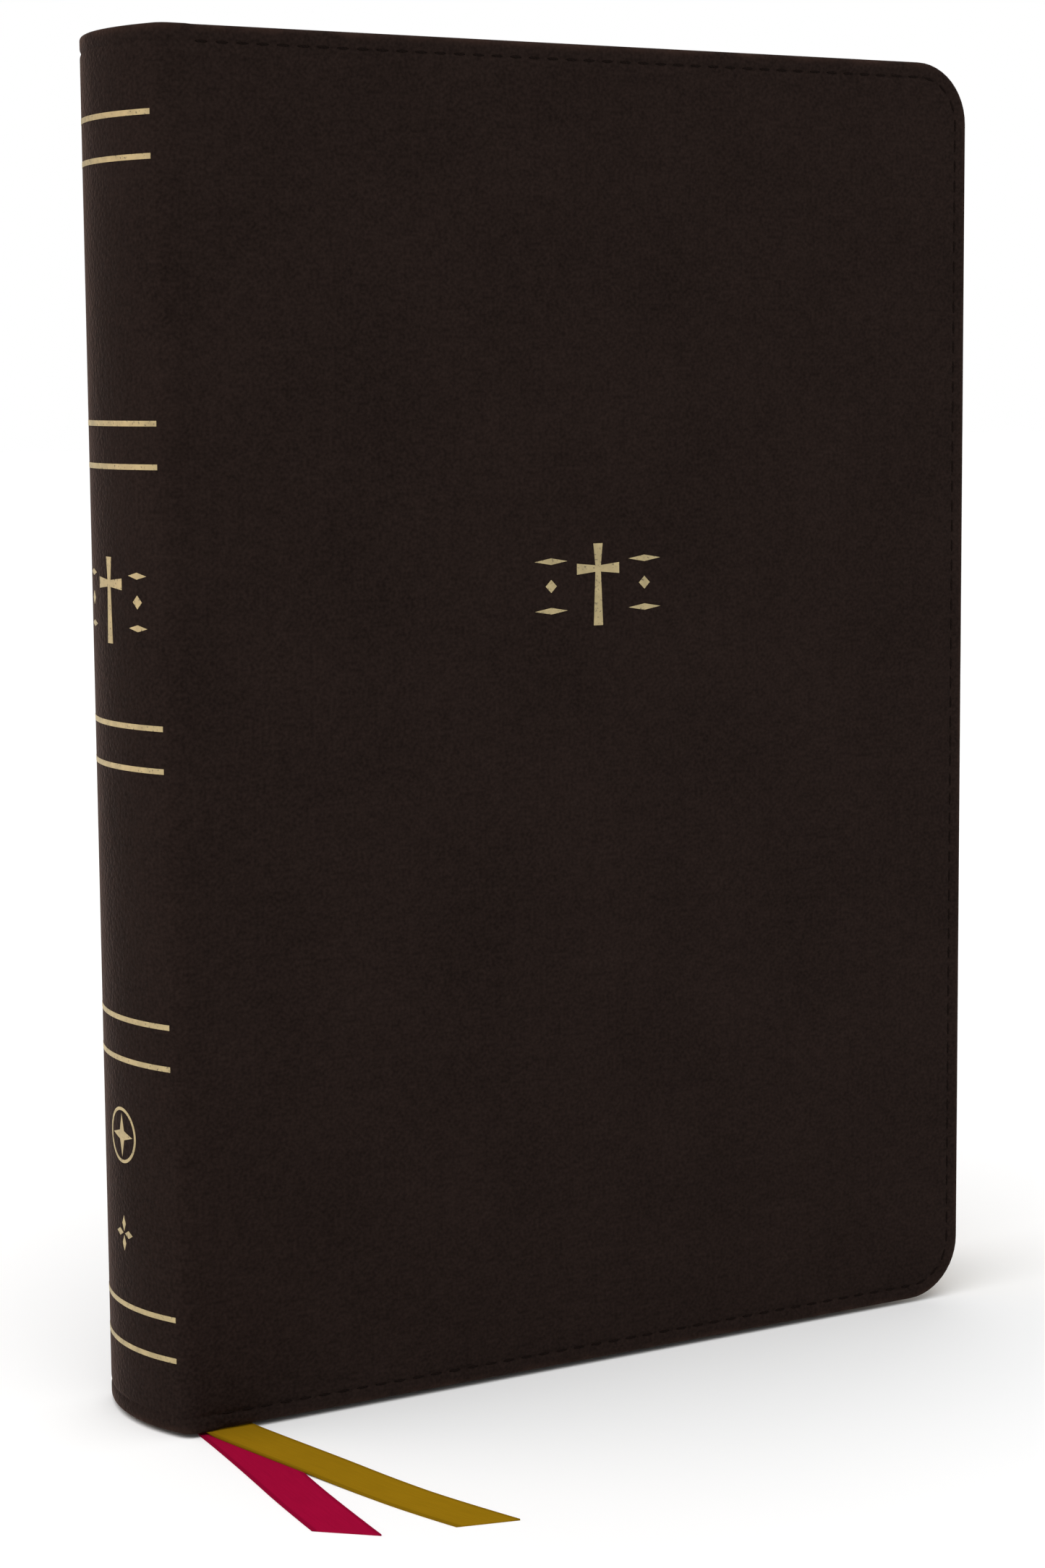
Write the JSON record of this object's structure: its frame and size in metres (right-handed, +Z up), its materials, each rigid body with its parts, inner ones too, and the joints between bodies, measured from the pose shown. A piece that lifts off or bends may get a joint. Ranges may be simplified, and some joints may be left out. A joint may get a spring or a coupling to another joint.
{
  "type": "bible",
  "caption": "Upright sewn bible in a soft brown leather case with gilt rules and ornaments on a rounded spine, turning leaves and two satin ribbon markers.",
  "frame": {"origin": "on the surface the book stands on, under the middle of the closed case", "axes": "+Z up from tail to head, -Y out of the front cover, -X out of the spine, +X towards the fore-edge"},
  "size_m": [0.1832, 0.1032, 0.2548],
  "materials": {
    "cover_leather": "smooth dark brown bonded leather with a fine grain, satin",
    "binders_board": "flexible grey board",
    "endpaper": "dark brown uncoated endpaper",
    "bible_paper": "thin cream bible paper with matt gilt edges",
    "kraft_paper": "brown kraft lining",
    "mull_cloth": "open starched cotton",
    "linen_thread": "waxed linen thread",
    "edge_thread": "dark brown polyester thread",
    "band_silk": "striped rayon headband",
    "gold_foil": "matt pale gold foil blocking",
    "red_satin": "woven satin ribbon",
    "gold_satin": "woven satin ribbon"
  },
  "bodies": {
    "root": {"spine_leather": "cover_leather", "spine_inlay": "binders_board", "spine_lining": "kraft_paper", "mull": "mull_cloth", "sewing_thread": "linen_thread", "headband": "band_silk", "tailband": "band_silk", "spine_rules": "gold_foil", "spine_ornament": "gold_foil", "spine_medallion": "gold_foil", "spine_mark": "gold_foil", "red_ribbon": "red_satin", "gold_ribbon": "gold_satin", "gathering_01": "bible_paper", "gathering_02": "bible_paper", "gathering_03": "bible_paper", "gathering_04": "bible_paper", "gathering_05": "bible_paper", "gathering_06": "bible_paper", "gathering_07": "bible_paper", "gathering_08": "bible_paper", "gathering_09": "bible_paper", "gathering_10": "bible_paper", "gathering_11": "bible_paper", "gathering_12": "bible_paper", "red_ribbon_held": "red_satin", "gold_ribbon_held": "gold_satin", "front_bound_margins": "bible_paper", "back_bound_margins": "bible_paper"},
    "front_cover": {"front_leather": "cover_leather", "front_board": "binders_board", "front_pastedown": "endpaper", "front_stitching": "edge_thread", "front_ornament": "gold_foil"},
    "front_flyleaf": {"front_flyleaf": "endpaper"},
    "title_leaves": {"title_leaves": "bible_paper"},
    "preface_leaves": {"preface_leaves": "bible_paper"},
    "opening_leaves": {"opening_leaves": "bible_paper"},
    "back_cover": {"back_leather": "cover_leather", "back_board": "binders_board", "back_pastedown": "endpaper", "back_stitching": "edge_thread"},
    "back_flyleaf": {"back_flyleaf": "endpaper"},
    "map_leaves": {"map_leaves": "bible_paper"}
  },
  "joints": [
    {"name": "front_cover_hinge", "type": "hinge", "parent": "root", "child": "front_cover", "pos_m": [-0.08511, -0.017, 0.1278], "axis": [0, 0, -1], "range_deg": [0, 170]},
    {"name": "back_cover_hinge", "type": "hinge", "parent": "root", "child": "back_cover", "pos_m": [-0.08511, 0.017, 0.1278], "axis": [0, 0, 1], "range_deg": [0, 170]},
    {"name": "front_flyleaf_turn", "type": "hinge", "parent": "root", "child": "front_flyleaf", "pos_m": [-0.07211, -0.0145, 0.1278], "axis": [0, 0, -1], "range_deg": [0, 143]},
    {"name": "title_leaves_turn", "type": "hinge", "parent": "root", "child": "title_leaves", "pos_m": [-0.07121, -0.0143, 0.1278], "axis": [0, 0, -1], "range_deg": [0, 119.2]},
    {"name": "preface_leaves_turn", "type": "hinge", "parent": "root", "child": "preface_leaves", "pos_m": [-0.06951, -0.0135, 0.1278], "axis": [0, 0, -1], "range_deg": [0, 90.3]},
    {"name": "opening_leaves_turn", "type": "hinge", "parent": "root", "child": "opening_leaves", "pos_m": [-0.06721, -0.0123, 0.1278], "axis": [0, 0, -1], "range_deg": [0, 58]},
    {"name": "back_flyleaf_turn", "type": "hinge", "parent": "root", "child": "back_flyleaf", "pos_m": [-0.07211, 0.0145, 0.1278], "axis": [0, 0, 1], "range_deg": [0, 143]},
    {"name": "map_leaves_turn", "type": "hinge", "parent": "root", "child": "map_leaves", "pos_m": [-0.07121, 0.0143, 0.1278], "axis": [0, 0, 1], "range_deg": [0, 119.2]}
  ],
  "couplings": [
    {"joint": "front_flyleaf_turn", "follows": "front_cover_hinge", "ratio": 0.84},
    {"joint": "title_leaves_turn", "follows": "front_cover_hinge", "ratio": 0.7},
    {"joint": "preface_leaves_turn", "follows": "front_cover_hinge", "ratio": 0.53},
    {"joint": "opening_leaves_turn", "follows": "front_cover_hinge", "ratio": 0.34},
    {"joint": "back_flyleaf_turn", "follows": "back_cover_hinge", "ratio": 0.84},
    {"joint": "map_leaves_turn", "follows": "back_cover_hinge", "ratio": 0.7}
  ]
}
